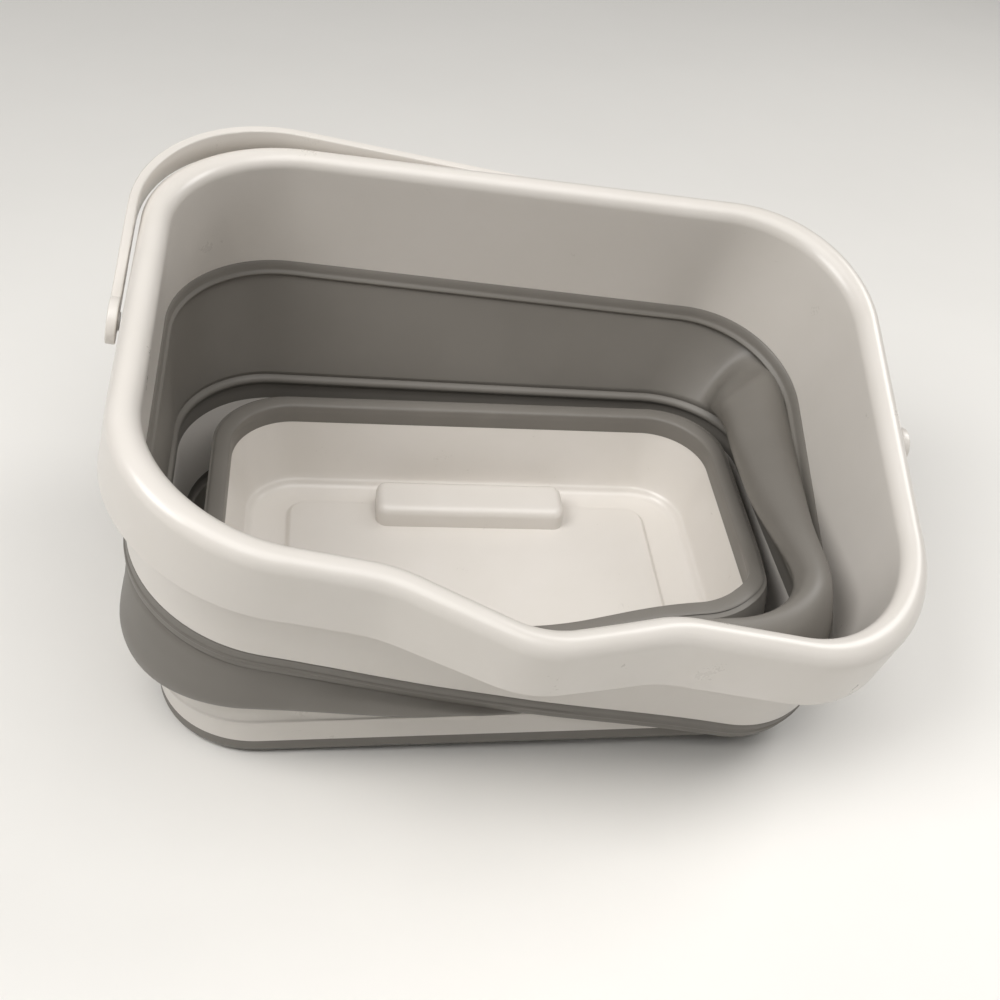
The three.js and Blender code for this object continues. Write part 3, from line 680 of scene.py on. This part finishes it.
def onBail(spots):  # level places beside the rim to places in the frame
    return [Vector(spot) * mm + Vector((0, frameShift * mm, 0)) for spot in onRim(spots, twisted=False)]


def drum(name, side, radius, start, end, soften=0.0):  # a round block on the pivot's axis
    bm = bmesh.new()
    middle = Matrix.Translation((side * (start + end) / 2, 0, bail["pivotLevel"]))
    place = middle @ Matrix.Rotation(math.pi / 2, 4, "Y")
    bmesh.ops.create_cone(bm, cap_ends=True, segments=64, radius1=radius, radius2=radius,
                          depth=end - start, matrix=place)
    if soften:
        rounds = [e for e in bm.edges if any(len(f.verts) > 8 for f in e.link_faces)]
        bmesh.ops.bevel(bm, geom=rounds, offset=soften, segments=3, **rounding)
    for vert in bm.verts:
        vert.co = onBail([vert.co[:]])[0]
    return meshPiece(name, bm)


def strapSection(half, rise, edge):  # out, up
    under = [(-half, -rise + 0.8), (-half + 0.3, -rise + 0.25), (-half + 0.8, -rise),
             (half + edge - 0.5, -rise), (half + edge, -rise + 0.5), (half + edge, -rise + 1.6),
             (half + edge * 0.4, -rise + 2.4), (half, -rise + 3)]
    return under + [(half, 0)] + [(out, -up) for out, up in reversed(under)] + [(-half, 0)]


def buildBail():
    half, edge = bail["thickness"] / 2, bail["edge"]
    section = strapSection(half, bail["height"] / 2, edge)
    loop = ringLoop(strapOffset, 0.0)
    places = [(pivotX, 0.0, 1.0, 0.0)]
    for index in np.flatnonzero(loop[:, 1] > 0.5):
        places.append((*loop[index, :2], stations["cos"][index], stations["sin"][index]))
    places.append((-pivotX, 0.0, -1.0, 0.0))
    bm = bmesh.new()
    bmesh.ops.create_grid(bm, x_segments=len(section), y_segments=len(places) - 1, size=1)
    bm.verts.ensure_lookup_table()
    width = len(section) + 1
    for row, (x, y, outX, outY) in enumerate(places):
        climb = float(smoothstep(np.array(y), 0, bail["climb"]))
        level = bail["pivotLevel"] + (bail["level"] - bail["pivotLevel"]) * climb
        spots = [(x + outX * out, y + outY * out, level + up) for out, up in section + section[:1]]
        for column, spot in enumerate(onBail(spots)):
            bm.verts[row * width + column].co = spot
    bmesh.ops.remove_doubles(bm, verts=bm.verts, dist=weldGap)
    bmesh.ops.holes_fill(bm, edges=[e for e in bm.edges if e.is_boundary], sides=0)
    bmesh.ops.recalc_face_normals(bm, faces=bm.faces)
    piece = meshPiece("bailStrap", bm)
    face, past = pivotX + half + edge, bail["cutPast"]
    for side in (-1, 1):
        lug = drum("lug", side, bail["lugRadius"], pivotX - half, face, bail["lugRound"])
        cutWith(piece, lug, "UNION")
        cutWith(piece, drum("pinHole", side, bail["hole"], pivotX - past, face + past), "DIFFERENCE")
        headSeat = drum("headSeat", side, bail["seatRadius"], face - bail["seatDepth"], face + past)
        cutWith(piece, headSeat, "DIFFERENCE")
    piece.data.set_sharp_from_angle(angle=sharpAngle)
    dress(piece, rigidPlastic)
    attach(piece, "bail")
    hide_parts("bail_handle")


buildBail()
for name in ("left_pivot_pin", "right_pivot_pin"):
    nodes[name].data.materials.clear()
    nodes[name].data.materials.append(rigidPlastic)
print("stage 7: bail and pins")

# floor and light; each lamp has a name, a place, a size and a power
studio = {"floor": (238, 236, 232), "floorShade": (234, 232, 228), "floorSize": 4, "floorRoughness": 0.45,
          "room": (1.0, 0.995, 0.985, 1.0), "roomStrength": 0.11, "lampColour": (1.0, 0.99, 0.975),
          "aim": (0.0, 0.069, 0.08),
          "lamps": [("keyLamp", (-0.95, -0.35, 1.3), 0.9, 15.0), ("fillLamp", (0.2, -0.5, 1.75), 1.7, 20.0),
                    ("backLamp", (1.1, 0.5, 1.0), 0.7, 7.0)]}


def buildFloor():
    bm = bmesh.new()
    bmesh.ops.create_grid(bm, x_segments=1, y_segments=1, size=studio["floorSize"])
    floor = meshPiece("floorSheet", bm)
    material, inputs, place = newMaterial("paleFloor")
    clouds = noise(place, 3.0, 5.0, 0.6)
    setInput(inputs["Base Color"], tint(clouds, 0.3, 0.7, studio["floorShade"], studio["floor"]))
    setInput(inputs["Roughness"], studio["floorRoughness"])
    floor.data.materials.append(material)


def buildLight():
    world = bpy.data.worlds.new("softRoom")
    bpy.context.scene.world = world
    world.use_nodes = True
    room = world.node_tree.nodes["Background"].inputs
    setInput(room["Color"], studio["room"])
    setInput(room["Strength"], studio["roomStrength"])
    for name, place, size, energy in studio["lamps"]:
        light = bpy.data.lights.new(name, "AREA")
        light.shape = "DISK"
        light.size = size
        light.energy = energy
        light.color = studio["lampColour"]
        lamp = bpy.data.objects.new(name, light)
        bpy.context.scene.collection.objects.link(lamp)
        aim = Vector(studio["aim"]) - Vector(place)
        lamp.matrix_world = Matrix.Translation(place) @ aim.to_track_quat("-Z", "Y").to_matrix().to_4x4()


# camera at the photograph's place
view = {"place": (-84.32, -480.32 + frameShift, 486.11), "right": (0.989553, -0.090368, 0.112333),
        "down": (0.024911, -0.660276, -0.75061), "ahead": (0.142001, 0.745567, -0.651127),
        "lens": 46.715, "sensor": 36.0}


def buildCamera():
    data = bpy.data.cameras.new("photoCamera")
    data.sensor_width = view["sensor"]
    data.lens = view["lens"]
    camera = bpy.data.objects.new("photoCamera", data)
    bpy.context.scene.collection.objects.link(camera)
    turn = Matrix((view["right"], [-v for v in view["down"]], [-v for v in view["ahead"]])).transposed()
    camera.matrix_world = Matrix.Translation(Vector(view["place"]) * mm) @ turn.to_4x4()
    bpy.context.scene.camera = camera


buildFloor()
buildLight()
buildCamera()
bpy.context.scene.view_settings.view_transform = "Standard"
print("stage 8: studio and camera")
